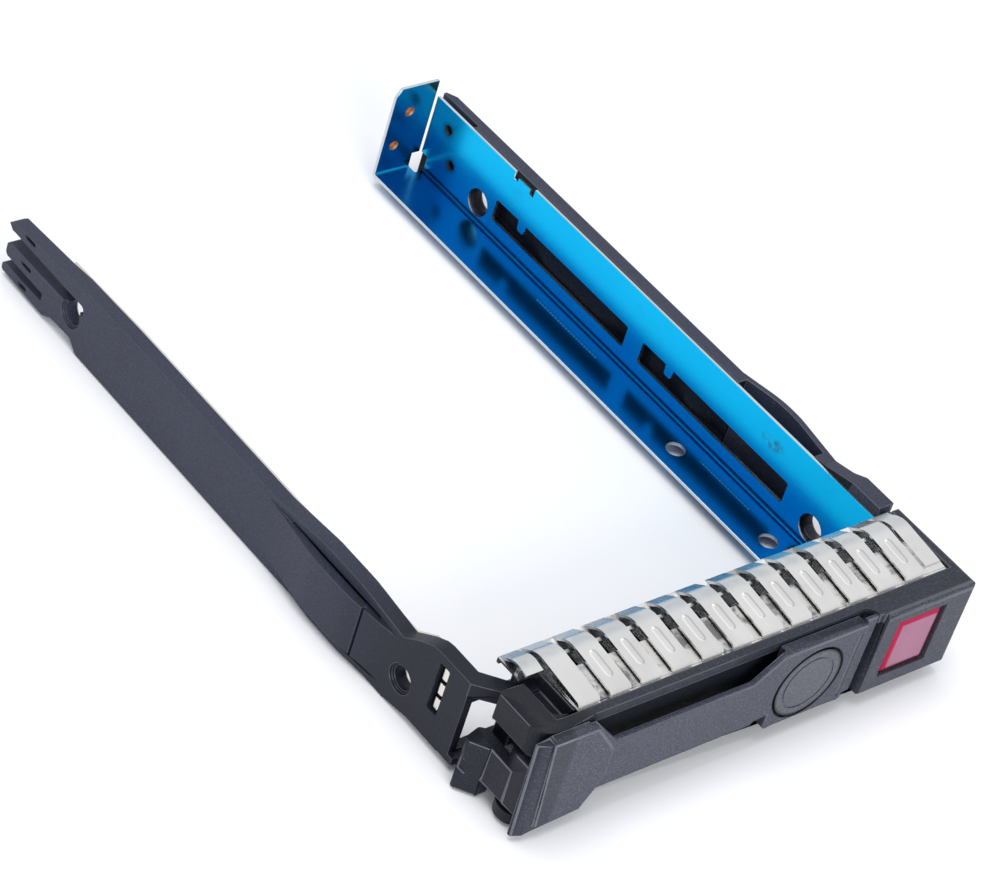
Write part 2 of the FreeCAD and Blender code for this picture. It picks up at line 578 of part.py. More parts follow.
def make_emi_finger_strip():
    """One folded spring sheet: twelve arched fingers over a bed strip."""
    body = new_body("emi_finger_strip")
    t = size("finger_gauge")
    count = size("finger_count")
    bed = strip_bed
    start = left + 8.3
    pitch = (size("frame_width") - 14.37 + size("finger_gap")) / count
    width = pitch - size("finger_gap")
    crest = bezel_top + 1.4
    fold = bezel_rear + 0.4
    lip = front + 4.5
    root = [(fold - 0.7, bed - 0.2), (fold, bed - 0.2), (fold, bed + 0.1, 0.3)]
    heel = (fold - 0.7, bed + 0.1)
    add(body, "Bed", "Z", bed, bed + t, outline([
        (left + 8.1, front + 4.3), (right - 1.9, front + 4.3), (right - 1.9, bezel_rear - 0.05),
        (left + 4.5, bezel_rear - 0.05), (left + 4.5, bezel_rear - 4.2),
        (left + 8.1, bezel_rear - 4.2)]))
    add(body, "Ramp", "X", left + 8.3, right - 2.1, outline([
        (lip + 0.1, bed + 0.1), (lip + 0.1, bed + 0.4), (bezel_rear - 5.8, bed + 1.15),
        (bezel_rear - 5.8, bed + 0.85)]))
    add(body, "Skirt", "Y", bezel_rear - 0.2, bezel_rear + 0.25,
        box(left + 4.6, bed - 0.6, right - 2, bed + 0.2))
    add(body, "Spine", "X", left + 4.7, right - 2.1,
        box(bezel_rear - 3.6, bed + 0.2, bezel_rear - 3.0, bed + 1.2))
    add(body, "EndLeft", "X", left + 4.9, left + 7.7, outline(root + [
        (bezel_rear - 2.4, crest - 0.3, 2.5), (bezel_rear - 4.8, crest - 0.8),
        (bezel_rear - 4.8, crest - 1.1), (bezel_rear - 2.5, crest - 0.6, 2.2), heel]))
    add(body, "EndRight", "X", right - 5.1, right - 2.3, outline(root + [
        (bezel_rear - 2.4, crest - 0.3, 3.5), (lip + 1, bezel_top + 0.1),
        (lip + 1, bezel_top - 0.2), (bezel_rear - 2.5, crest - 0.6, 3.2), heel]))
    finger = add(body, "Finger", "X", start, start + width, outline(root + [
        (bezel_rear - 2.4, crest, 3.5), (lip + 0.3, bezel_top + 0.35, 0.5),
        (lip, bezel_top - 0.1), (lip + 0.25, bezel_top - 0.2), (lip + 0.5, bezel_top + 0.05),
        (bezel_rear - 2.5, crest - t, 3.2), heel]))
    repeat(body, [finger], "X", pitch, count)
    opening = cut(body, "BedWindow", "Z", bed, bed + t,
                  box(start + width + 0.1, bezel_rear - 5.6, start + pitch - 0.1, bezel_rear - 3.9))
    repeat(body, [opening], "X", pitch, count - 1)
    return body


def make_side_ground_clip():
    """Ribbed spring clip that shows through the left frame's window."""
    body = new_body("side_ground_clip")
    out = left + 0.5
    add(body, "Leaf", "X", rail_in, rail_in + 0.3,
        box(bezel_rear + 2.3, seat + 2.4, bezel_rear + 5.6, rail_top + 2.6, 0.4))
    rib = add(body, "Rib", "Z", seat + 3.6, seat + 5.4, outline([
        (rail_in, bezel_rear + 3.1), (rail_in, bezel_rear + 4.7),
        (out, bezel_rear + 4.5, 0.4), (out, bezel_rear + 3.3, 0.4)]))
    repeat(body, [rib], "Z", 2.5, 3)
    return body


# ---------------------------------------------------------------- lever

def make_ejector_lever():
    """Swinging front handle with grip, bar, ring seat, hook and catch."""
    body = new_body("ejector_lever")
    radius = size("ring_radius")
    top = bezel_top - 3.9
    panel = right - 34.3
    end = right - 20.1
    add(body, "Bar", "Y", lever_face, lever_face + 1, outline([
        (left + 11.5, seat + 2.7), (panel - 3.2, seat + 2.7), (panel - 2.5, seat + 3.4, 0.5),
        (panel + 0.3, seat + 3.4), (panel + 0.3, bezel_top - 0.6), (panel - 0.8, bezel_top - 0.6),
        (panel - 5.3, top), (left + 11.5, top)]))
    add(body, "Panel", "Y", lever_face, front + 2.6, outline([
        (panel, seat + 0.8, 0.5), (end, seat + 0.8, 0.5), (end, bezel_top - 0.6),
        (panel, bezel_top - 0.6)]))
    add(body, "EndStrip", "Y", lever_face + 0.3, front + 1.5,
        box(end - 0.1, seat + 1.4, end + 1.9, bezel_top))
    add(body, "Grip", "Y", lever_face, lever_in, outline([
        (left - 0.3, seat - 1.3), (left + 2.4, seat - 0.9), (left + 10.2, seat - 0.4),
        (left + 12.8, seat + 3.9, 0.5), (left + 12.7, top, 0.5), (left + 9, bezel_top - 0.1),
        (left - 0.9, bezel_top - 0.1)]))
    add(body, "GripFace", "Y", front, front + 0.5, outline([
        (left + 2.4, seat + 0.2), (left + 9.7, seat + 0.3), (left + 12.3, seat + 5.9),
        (left + 12.2, bezel_top - 4.9), (left + 7.9, bezel_top + 0.4), (left + 0.8, bezel_top + 0.4)]))
    add(body, "GripCrown", "Y", front + 0.4, lever_in, box(
        left + 1.4, bezel_top - 0.2, left + 7.7, bezel_top + 0.4))
    cut(body, "GripSlope", "Z", 0, bezel_top, outline([
        (left - 1, front + 0.3), (left + 1.2, front + 0.3), (left - 1, front + 1.5)]))
    add(body, "Knuckle", "Z", seat + 0.9, bezel_top - 5.7, outline([
        (pivot_x - 2.5, pivot_y + 2.5, 2.4), (pivot_x + 2.5, pivot_y + 2.5, 2.4),
        (pivot_x + 2.5, lever_in - 0.1), (pivot_x - 2.5, lever_in - 0.1)]))
    add(body, "Arm", "Z", seat + 0.9, seat + 6.5, outline([
        (pivot_x - 2.6, pivot_y), (pivot_x - 0.6, pivot_y), (pivot_x - 0.6, bezel_rear - 4, 0.5),
        (pivot_x - 2.6, bezel_rear - 4)]))
    add(body, "Hook", "Z", 0.15, seat + 6.5, outline([
        (pivot_x - 0.6, bezel_rear - 7, 0.4), (pivot_x - 0.6, bezel_rear - 4, 0.6),
        (pivot_x - 1.6, bezel_rear - 3.1, 0.6), (left - bow, bezel_rear - 3.8, 0.5),
        (left - bow, bezel_rear - 4.6, 0.3), (pivot_x - 2.6, bezel_rear - 7, 0.4)]))
    add(body, "Catch", "Z", seat + 4, seat + 8, outline([
        (end - 4.9, front + 2.4), (end - 0.3, front + 2.4), (end - 0.3, front + 5.2),
        (end + 0.7, front + 5.2), (end - 0.5, front + 7.4), (end - 2.1, front + 7.4, 0.5),
        (end - 2.5, front + 4, 1)]))
    cut(body, "RingSeat", "Y", lever_face, lever_face + 0.9, circle(ring_x, ring_z, radius + 0.4))
    cut(body, "LightBore", "Y", lever_face + 0.8, front + 2.6, circle(ring_x, ring_z, radius - 1.4))
    cut(body, "PanelGroove", "Y", lever_face, lever_face + 0.3,
        box(end - 0.9, seat + 1.6, end - 0.5, bezel_top - 2))
    cut(body, "HookPocket", "X", left - bow, left - bow + 0.5, outline([
        (bezel_rear - 6.2, seat + 1), (bezel_rear - 3.8, seat + 1), (bezel_rear - 3.8, seat + 4.6)]))
    cut(body, "PinBore", "Z", seat + 0.9, bezel_top - 5.7, circle(pivot_x, pivot_y, pin + gap))
    return body


def make_ring_lens():
    """Clear ring disc set into the lever's front."""
    body = new_body("ring_lens")
    radius = size("ring_radius")
    add(body, "Disc", "Y", lever_face, lever_face + 0.9, circle(ring_x, ring_z, radius))
    cut(body, "Groove", "Y", lever_face, lever_face + 0.1,
        circle(ring_x, ring_z, radius - 1.2), circle(ring_x, ring_z, radius - 1.5))
    return body


def make_ring_light_guide():
    """Clear tube that carries light from the board to the ring."""
    body = new_body("ring_light_guide")
    radius = size("ring_radius") - 1.7
    add(body, "Tube", "Y", front + 3.2, bezel_rear - 3.6,
        circle(ring_x, ring_z, radius), circle(ring_x, ring_z, radius - 1))
    return body


def make_release_button():
    """Push button with its wedge, in the right of the bezel."""
    body = new_body("release_button")
    x0, x1, z0, z1 = window[0] + 0.07, window[1] - 0.07, window[2] + 0.07, window[3] - 0.07
    face = front + 0.2
    deep = bezel_rear - 7
    add(body, "Block", "Y", face, deep, box(x0, z0, x1, z1))
    cut(body, "SideBevels", "Z", z0, z1,
        outline([(x0 - 0.1, face - 0.1), (x0 + 1.15, face - 0.1), (x0 - 0.1, face + 0.75)]),
        outline([(x1 + 0.1, face - 0.1), (x1 - 0.9, face - 0.1), (x1 + 0.1, face + 0.75)]))
    cut(body, "EndBevels", "X", x0, x1,
        outline([(face - 0.1, z0 - 0.1), (face - 0.1, z0 + 0.9), (face + 0.75, z0 - 0.1)]),
        outline([(face - 0.1, z1 + 0.1), (face - 0.1, z1 - 1.15), (face + 0.75, z1 + 0.1)]))
    add(body, "Wedge", "Z", seat + 4, seat + 8, outline([
        (x0 + 0.5, deep - 0.2), (x0 + 0.5, front + 6.6), (block - 2.2, front + 6.2),
        (block - 2.2, deep - 0.2)]))
    cut(body, "SpringPocket", "Y", front + 3, deep, circle(shaft, seat + 7.9, 2.4))
    return body


def make_helix(name, radius, wire, height, turns, turn, place):
    """Coil of square wire about a body's own Z axis, from its place upwards."""
    body = new_body(name)
    section = box(term(radius) - wire, -wire, term(radius) + wire, wire)
    sketch = new_sketch(body, name + "Wire", "Y", 0, [section])
    coil = body.newObject("PartDesign::AdditiveHelix", name + "Coil")
    coil.Profile = sketch
    line = next(p for p in body.Origin.OriginFeatures if p.Role == "Z_Axis")
    coil.ReferenceAxis = (line, [""])
    coil.Mode = 0
    coil.Pitch = term(height).value / turns
    coil.Height = term(height).value
    bind(coil, "Pitch", term(height) / turns)
    bind(coil, "Height", height)
    body.Placement = FreeCAD.Placement(FreeCAD.Vector(*[term(v).value for v in place]), turn)
    for axis, value in zip("xyz", place):
        bind(body, "Placement.Base." + axis, value)
    return settle(coil) and body


def make_button_spring():
    """Coil spring that returns the button."""
    turn = FreeCAD.Rotation(FreeCAD.Vector(1, 0, 0), -90)
    return make_helix("button_spring", 1.7, 0.2, size("bezel_depth") - 4.8, 4, turn,
                      (shaft, front + 3.3, seat + 7.9))


def make_lever_spring():
    """Torsion spring round the pin, above the lever's knuckle."""
    return make_helix("lever_spring", 1.5, 0.15, 0.8, 2, FreeCAD.Rotation(),
                      (pivot_x, pivot_y, bezel_top - 5.4))


def make_lever_pivot_pin():
    body = new_body("lever_pivot_pin")
    add(body, "Pin", "Z", seat - 1.5, bezel_top - 1.25, circle(pivot_x, pivot_y, pin))
    return body


def make_led_board():
    """Small circuit board behind the light guide."""
    body = new_body("led_board")
    add(body, "Board", "Y", bezel_rear - 3.6, bezel_rear - 2.8,
        box(left + 10.4, seat + 2, block - 2.6, bezel_top - 2.9, 0.5))
    cut(body, "Holes", "Y", bezel_rear - 3.6, bezel_rear - 2.8,
        circle(left + 16, bezel_top - 4.3, 0.85))
    return body


def make_board_leds():
    body = new_body("board_leds")
    add(body, "Lamp", "Y", bezel_rear - 4.3, bezel_rear - 3.6,
        box(ring_x - 0.55, ring_z - 0.55, ring_x + 0.55, ring_z + 0.55))
    return body


def make_board_connector():
    body = new_body("board_connector")
    start = left + 11.4
    add(body, "Shell", "Y", bezel_rear - 5.6, bezel_rear - 3.6,
        box(start, seat + 5, start + 6, seat + 9))
    cut(body, "Mouth", "X", start, start + 3.6,
        box(bezel_rear - 5, seat + 5.6, bezel_rear - 4.2, seat + 8.4))
    return body


MAKERS = [
    make_left_rail, make_left_liner, make_flex_circuit, make_right_rail_plate,
    make_right_guide, make_bezel_housing, make_bezel_back_plate, make_cover_screws,
    make_frame_screws, make_emi_finger_strip, make_side_ground_clip, make_ejector_lever,
    make_ring_lens, make_ring_light_guide, make_release_button, make_button_spring,
    make_lever_pivot_pin, make_lever_spring, make_led_board, make_board_leds,
    make_board_connector,
]


def main():
    bodies = [make() for make in MAKERS]
    doc.recompute()
    for thing in doc.Objects:
        if "Invalid" in thing.State or "Error" in thing.State:
            raise RuntimeError(thing.Name + " does not build")
    for body in bodies:
        if body.Shape.isNull() or not body.Shape.isValid():
            raise RuntimeError(body.Name + " has no valid shape")
        body.Shape.exportStep("parts/{}.step".format(body.Label))


main()
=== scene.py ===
import json
import math

import bmesh
import bpy
from mathutils import Matrix, Vector
from mathutils.bvhtree import BVHTree


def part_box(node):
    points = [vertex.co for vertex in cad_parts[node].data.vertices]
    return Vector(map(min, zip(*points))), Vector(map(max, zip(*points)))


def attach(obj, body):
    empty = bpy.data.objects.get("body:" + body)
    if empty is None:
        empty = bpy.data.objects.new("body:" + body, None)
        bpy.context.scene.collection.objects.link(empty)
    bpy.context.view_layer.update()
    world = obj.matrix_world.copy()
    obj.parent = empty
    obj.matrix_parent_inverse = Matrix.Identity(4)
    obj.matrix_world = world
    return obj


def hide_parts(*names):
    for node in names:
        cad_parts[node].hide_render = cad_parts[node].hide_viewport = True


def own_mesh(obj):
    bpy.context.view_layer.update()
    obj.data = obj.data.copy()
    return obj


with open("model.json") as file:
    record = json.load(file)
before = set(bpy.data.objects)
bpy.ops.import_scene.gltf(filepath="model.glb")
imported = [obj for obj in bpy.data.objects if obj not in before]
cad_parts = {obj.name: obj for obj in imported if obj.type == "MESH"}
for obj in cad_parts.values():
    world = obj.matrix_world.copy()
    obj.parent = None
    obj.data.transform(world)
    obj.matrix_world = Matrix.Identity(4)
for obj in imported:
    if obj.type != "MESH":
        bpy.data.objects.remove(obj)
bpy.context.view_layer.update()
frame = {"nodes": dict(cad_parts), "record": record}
MM = 0.001
BODY = {node: body for body, nodes in frame["record"]["behaviour"]["bodies"].items()
        for node in nodes}


# ------------------------------------------------------------- places
# In millimetres: X across the caddy, Y from the lever to the rails' tips, Z up.

def span(node):
    """Lowest and highest corner of a node."""
    return [[part / MM for part in corner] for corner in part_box(node)]


(_, FRONT, _), (_, BEZEL_REAR, _) = span("bezel_housing")
(FREE_EDGE, _, FLANGE_UNDER), (WALL_OUT, TAB_BACK, _) = span("right_rail_plate")
GAUGE = 0.55                                    # thickness of the steel plate
FLANGE_TOP = FLANGE_UNDER + GAUGE
WALL_IN = WALL_OUT - GAUGE
TAB_FRONT = TAB_BACK - GAUGE
TAB_THREADS = (("thread_upper", 30.4, 12.9), ("thread_lower", 29.1, 6.9))
WALL_HOLES = ((53.1, 11.3), (50.7, 6.4))        # Y and Z of the two by the tab
RING_X, RING_Z = 9.5, 9.2                       # middle of the lever's ring
RING_GROOVE = (5.56, 6.10)                      # radii of the groove round it
BAY_TOP, BAY_END = 14.4, 20.25                  # Z and X where the lever's bay ends
FINGER_PITCH = 5.28
FIRST_FINGER = -27.925                          # X of its middle
FINGER_HALF = 1.82                              # half a finger's width
FINGER_GROOVE = (-52.4, -49.2)                  # Y of its two ends
BED_WINDOW = (BEZEL_REAR - 5.6, BEZEL_REAR - 3.9)


# ------------------------------------------------------------- shader kit

class Wire:
    """A node socket that takes part in arithmetic."""

    def __init__(self, nodes, socket):
        self.nodes = nodes
        self.socket = socket

    def __add__(self, other):
        return self.nodes.calc("ADD", self, other)

    def __sub__(self, other):
        return self.nodes.calc("SUBTRACT", self, other)

    def __rsub__(self, other):
        return self.nodes.calc("SUBTRACT", other, self)

    def __mul__(self, other):
        return self.nodes.calc("MULTIPLY", self, other)

    def __truediv__(self, other):
        return self.nodes.calc("DIVIDE", self, other)

    def __rtruediv__(self, other):
        return self.nodes.calc("DIVIDE", other, self)

    __radd__ = __add__
    __rmul__ = __mul__


class Nodes:
    """Builds the nodes of one material or of the world."""

    def __init__(self, tree):
        self.tree = tree

    def node(self, kind, outlet=0, settings=None, **inputs):
        """Add a node, set it up and give back one of its outlets."""
        made = self.tree.nodes.new("ShaderNode" + kind)
        for key, value in (settings or {}).items():
            setattr(made, key, value)
        for key, value in inputs.items():
            numbered = key[0] == "i" and key[1:].isdigit()
            socket = made.inputs[int(key[1:]) if numbered else key.replace("_", " ")]
            if isinstance(value, Wire):
                self.tree.links.new(value.socket, socket)
            else:
                socket.default_value = value
        return Wire(self, made.outputs[outlet])

    def outlets(self, wire, *names):
        """More outlets of the node that a wire comes from."""
        return [Wire(self, wire.socket.node.outputs[name]) for name in names]

    def calc(self, operation, *values, clamp=False):
        inputs = {"i{}".format(n): value for n, value in enumerate(values)}
        return self.node("Math", settings={"operation": operation, "use_clamp": clamp}, **inputs)

    def blend(self, factor, first, second):
        """From the first colour to the second as the factor goes from 0 to 1."""
        first, second = (end if isinstance(end, Wire) else (*end, 1.0) for end in (first, second))
        return self.node("Mix", outlet=2, settings={"data_type": "RGBA"},
                         i0=factor, i6=first, i7=second)

    def step(self, value, low, high):
        """0 up to low and 1 from high on, or the other way round where low is the larger."""
        return self.node("MapRange", settings={"interpolation_type": "SMOOTHSTEP"},
                         i0=value, i1=low, i2=high, i3=0.0, i4=1.0)

    def above(self, value, place, soft):
        return self.step(value, place - soft, place + soft)

    def below(self, value, place, soft):
        return self.step(value, place + soft, place - soft)

    def near(self, value, middle, reach, soft):
        return self.below(self.calc("ABSOLUTE", value - middle), reach, soft)

    def length(self, *legs):
        """Length of a line from its parts along the axes."""
        squares = [leg * leg for leg in legs]
        return self.calc("SQRT", sum(squares[1:], squares[0]))


class Paint(Nodes):
    """One procedural material on a Principled shader."""

    def __init__(self, name, **constants):
        self.material = bpy.data.materials.new(name)
        self.material.use_nodes = True
        super().__init__(self.material.node_tree)
        self.shader = self.tree.nodes["Principled BSDF"]
        for key, value in constants.items():
            self.shader.inputs[key.replace("_", " ")].default_value = value

    def place(self):
        """X, Y and Z on the object, in millimetres."""
        axes = self.node("SeparateXYZ", Vector=self.node("TexCoord", "Object"))
        return [axis * 1000.0 for axis in self.outlets(axes, "X", "Y", "Z")]

    def noise(self, scale, detail=2.0, rough=0.5, stretch=(1, 1, 1)):
        place = self.node("Mapping", Vector=self.node("TexCoord", "Object"), Scale=stretch)
        return self.node("TexNoise", Vector=place, Scale=scale, Detail=detail, Roughness=rough)

    def spot(self, across, along, reach):
        """Soft round mark: 1 at its middle and 0 at its reach."""
        return self.step(self.length(across, along), reach, reach * 0.3)

    def bump(self, height, distance, strength=1.0, under=None):
        extra = {"Normal": under} if under else {}
        return self.node("Bump", Height=height, Distance=distance, Strength=strength, **extra)

    def drive(self, **wires):
        """Link the sockets that change over the surface, and give back the material."""
        for key, wire in wires.items():
            self.tree.links.new(wire.socket, self.shader.inputs[key.replace("_", " ")])
        return self.material


def toned(colour, by):
    """The colour made lighter or darker."""
    return tuple(by * part for part in colour)


# ------------------------------------------------------------- plastics

def moulded(name, dark, light, grain, depth, roughness, gloss=0.16, sparkle=0.5, shadow=None):
    """Sparked black plastic: fine grain in bump, colour and roughness."""
    paint = Paint(name, Specular_IOR_Level=gloss)
    fine = paint.noise(grain, 3.0, 0.6)
    broad = paint.noise(90.0, 3.0, 0.6)
    spark = paint.above(paint.noise(grain * 1.6, 1.0, 0.6), 0.62, 0.12)
    pit = paint.below(paint.noise(grain * 1.3, 1.0, 0.6), 0.38, 0.10)
    colour = paint.blend(broad, dark, light)
    colour = paint.blend(spark * sparkle, colour, toned(light, 3.0))
    colour = paint.blend(pit * sparkle, colour, toned(dark, 0.3))
    if shadow:
        colour = paint.blend(shadow(paint), colour, (0.007, 0.008, 0.0125))
    rough = roughness + (fine - 0.5) * 0.25 + (broad - 0.5) * 0.12
    return paint.drive(Base_Color=colour, Roughness=rough, Normal=paint.bump(fine, depth))


def from_ring(paint):
    """Distance from the middle of the lever's ring."""
    x, _, z = paint.place()
    return paint.length(x - RING_X, z - RING_Z)


def bezel_shadow(paint):
    """Darker behind the bezel's face, most of all in the lever's bay, and toward the hinge."""
    x, y, z = paint.place()
    back = paint.above(y, FRONT + 0.85, 0.3)
    bay = back * paint.below(z, BAY_TOP, 0.2) * paint.below(x, BAY_END, 0.25)
    hinge = back * paint.below(x, -29.0, 2.0)
    return back * 0.4 + bay * 0.5 + hinge * 0.45 * (1.0 - bay)


def lever_shadow(paint):
    """Painted shade: black in the groove round the ring, darker on the grip's sides and on faces
    set back from the front.
    """
    x, y, _ = paint.place()
    far = from_ring(paint)
    # Painted shade filling the groove round the ring, and on the grip and the set-back faces.
    groove = paint.above(far, RING_GROOVE[0], 0.06) * paint.below(far, RING_GROOVE[1], 0.05)
    grip = paint.below(x, -33.5, 0.5) * 0.45 + paint.above(y, FRONT + 1.05, 0.3) * 0.35
    return groove + grip * (1.0 - groove)


def ring_shadow(paint):
    """Painted shade on the ring's brim, beside the groove."""
    return paint.above(from_ring(paint), RING_GROOVE[0] - 0.235, 0.075)


def rail_shadow(paint):
    """Darker toward the front end."""
    _, y, _ = paint.place()
    return paint.below(y, -24.0, 12.0) * 0.8


def edge_light_and_shade(name, tone):
    """The same plastic on its rounded edges, mottled and smoother, in a tone that makes painted
    highlight where lighter than the face and painted shade where darker.
    """
    paint = Paint(name, Specular_IOR_Level=0.5)
    edge_mottle = paint.noise(700.0, 3.0, 0.65)
    # Painted edge highlight and shade, mottled between a darker and a lighter copy of the tone.
    colour = paint.blend(edge_mottle, toned(tone, 0.7), toned(tone, 1.5))
    return paint.drive(Base_Color=colour, Roughness=0.3 + (edge_mottle - 0.5) * 0.2)


def plain(name, colour, roughness, gloss=0.5):
    """Smooth plastic with a faint cloud in its colour and gloss."""
    paint = Paint(name, Specular_IOR_Level=gloss)
    cloud = paint.noise(300.0, 2.0, 0.5)
    return paint.drive(Base_Color=paint.blend(cloud, colour, toned(colour, 0.85)),
                       Roughness=roughness + (cloud - 0.5) * 0.1)


# ------------------------------------------------------------- metals

def bare_steel(name, tone, roughness):
    """Brushed metal, streaked along its length."""
    paint = Paint(name, Metallic=1.0)
    streak = paint.noise(900.0, 3.0, 0.6, (1, 0.12, 1))
    cloudy = paint.noise(120.0, 2.0, 0.5)
    colour = paint.blend(cloudy, tone, toned(tone, 0.86))
    rough = roughness + (streak - 0.5) * 0.14 + (cloudy - 0.5) * 0.1
    return paint.drive(Base_Color=colour, Roughness=rough,
                       Normal=paint.bump(streak, 0.00002, 0.3))


def blue_steel():
    """Blue finished sheet: soft clouds, faint rolling lines, stains, painted shade at the bend
    and round the wall's holes, and scribed dots.
    """
    paint = Paint("blue_steel", Metallic=1.0)
    rolling = paint.noise(260.0, 3.0, 0.6, (1, 0.02, 1))
    cloudy = paint.noise(60.0, 3.0, 0.6)
    colour = paint.blend(cloudy, (0.0, 0.40, 0.76), (0.003, 0.50, 0.82))
    colour = blue_parts(paint, colour)
    colour = blue_stains_and_shade(paint, colour)
    dots = scribed_dots(paint)
    colour = paint.blend(dots, colour, (0.06, 0.25, 0.42))
    rough = 0.22 + (rolling - 0.5) * 0.08 + (cloudy - 0.5) * 0.08
    return paint.drive(Base_Color=colour, Roughness=rough, Metallic=1.0 - dots,
                       Normal=paint.bump(rolling, 0.00002, 0.3))


def on_flange(paint):
    """1 on the plate's folded foot and 0 on its wall."""
    _, _, z = paint.place()
    return paint.below(z, FLANGE_TOP + 0.6, 0.3)


def blue_parts(paint, colour):
    """Deeper blue on the flange, painted shade darkest at the bend, and a greener tab."""
    x, y, _ = paint.place()
    flange = on_flange(paint)
    bend = flange * paint.above(x, WALL_IN - 0.75, 0.15)
    tab = paint.above(y, TAB_FRONT - 0.5, 0.35)
    colour = paint.blend(flange, colour, (0.004, 0.20, 0.48))
    # Painted shade along the bend's inside corner.
    colour = paint.blend(bend, colour, (0.0, 0.09, 0.25))
    return paint.blend(tab, colour, (0.05, 0.30, 0.40))


def blue_stains_and_shade(paint, colour):
    """Scattered stains, one smudge on the wall, and painted shade round the wall's holes."""
    _, y, z = paint.place()
    stain = paint.above(paint.noise(130.0, 5.0, 0.75), 0.67, 0.07)
    colour = paint.blend(stain * 0.25, colour, (0.01, 0.16, 0.36))
    smudge = paint.spot(y + 22.2, (z - 11.7) * 2.0, 3.2)
    ragged = paint.above(paint.noise(900.0, 3.0, 0.7), 0.51, 0.09)
    colour = paint.blend(smudge * ragged * 0.7, colour, (0.03, 0.10, 0.17))
    # Painted shade spread round each of the wall's holes.
    for hole_y, hole_z in WALL_HOLES:
        hole_shade = paint.spot(y - hole_y, z - hole_z, 1.9)
        colour = paint.blend(hole_shade * 0.55, colour, (0.0, 0.07, 0.22))
    return colour


def scribed_dots(paint):
    """One line along the flange with two stretches of fine dots."""
    line_x, pitch = 32.4, 0.62
    x, y, _ = paint.place()
    line = paint.near(x, line_x, 0.12, 0.04) * on_flange(paint)
    rows = paint.near(y, -19.3, 5.45, 0.15) + paint.near(y, 17.2, 7.05, 0.15)
    dots = paint.above(paint.calc("FRACT", y / pitch), 0.425, 0.075)
    return line * rows * dots * 0.7


def finger_steel():
    """Spring steel of the ground fingers, each pressed with one long groove, with a painted
    blue-grey reflection toward the crest.
    """
    paint = Paint("finger_steel", Metallic=1.0)
    x, y, _ = paint.place()
    streak = paint.noise(900.0, 3.0, 0.6, (1, 0.12, 1))
    cloudy = paint.noise(160.0, 3.0, 0.6)
    reflection_mottle = paint.above(paint.noise(330.0, 3.0, 0.65), 0.51, 0.09)
    half_pitch = FINGER_PITCH / 2
    turn = paint.calc("FRACT", (x - (FIRST_FINGER - half_pitch)) / FINGER_PITCH)
    across = turn * FINGER_PITCH - half_pitch
    crest = paint.above(y, BED_WINDOW[1] + 0.25, 0.8)
    colour = paint.blend(cloudy, (0.80, 0.80, 0.795), (0.56, 0.56, 0.57))
    # Painted reflection: darker blue-grey toward the crest, mottled.
    colour = paint.blend(crest * (0.35 + reflection_mottle * 0.2), colour, (0.36, 0.42, 0.48))
    colour, bead = finger_groove(paint, colour, across)
    colour = finger_bed(paint, colour, across, reflection_mottle)
    rough = 0.25 + (streak - 0.5) * 0.14 + (cloudy - 0.5) * 0.12
    fine = paint.bump(streak, 0.00002, 0.3)
    return paint.drive(Base_Color=colour, Roughness=rough,
                       Normal=paint.bump(bead, 0.00003, 1.0, fine))


def finger_groove(paint, colour, across):
    """The groove's raised bead, its lit and shaded brinks in painted highlight and painted shade,
    and a painted highlight dot behind it.
    """
    x, y, _ = paint.place()
    ahead = paint.calc("MINIMUM", y - FINGER_GROOVE[0], 0.0)
    behind = paint.calc("MAXIMUM", y - FINGER_GROOVE[1], 0.0)
    far = paint.length(across, ahead, behind)
    pressed = paint.above(x, -26.0, 0.2) * paint.below(x, 32.3, 0.1)
    brink = paint.near(far, 0.5, 0.13, 0.11) * pressed
    lit = paint.below(across, 0.0, 0.15)
    # Painted highlight: a bright white dot behind the groove.
    dot = paint.spot(across + 0.1, y - (FINGER_GROOVE[1] + 0.45), 0.3) * pressed
    colour = paint.blend(brink * lit * 0.5, colour, (0.95, 0.95, 0.95))
    colour = paint.blend(brink * (1.0 - lit) * 0.6, colour, (0.34, 0.34, 0.35))
    colour = paint.blend(dot, colour, (1.0, 1.0, 1.0))
    return colour, paint.below(far, 0.405, 0.255) * pressed


def finger_bed(paint, colour, across, reflection_mottle):
    """Between the fingers: a bed mottled with painted reflections, painted black shade in its
    windows and a painted bright reflection on the bridge behind.
    """
    x, y, _ = paint.place()
    gap = paint.above(paint.calc("ABSOLUTE", across), FINGER_HALF, 0.02)
    gap = gap * paint.below(x, 32.8, 0.2) * paint.above(x, -29.75, 0.15)
    window = paint.above(y, BED_WINDOW[0] - 0.2, 0.15) * paint.below(y, BED_WINDOW[1] + 0.2, 0.15)
    bridge = paint.above(y, BED_WINDOW[1] + 0.5, 0.15)
    # Painted reflections mottle the bed; the windows get painted shade and the bridge a painted
    # reflection.
    bed = paint.blend(reflection_mottle, (0.66, 0.65, 0.64), (0.20, 0.20, 0.205))
    bed = paint.blend(window, bed, (0.008, 0.008, 0.009))
    bed = paint.blend(bridge, bed, paint.blend(reflection_mottle, (0.85, 0.84, 0.82), (0.42, 0.40, 0.37)))
    return paint.blend(gap, colour, bed)


RAIL_DARK = (0.026, 0.029, 0.048)
RAIL_LIGHT = (0.042, 0.046, 0.072)
GRAIN = 2900.0

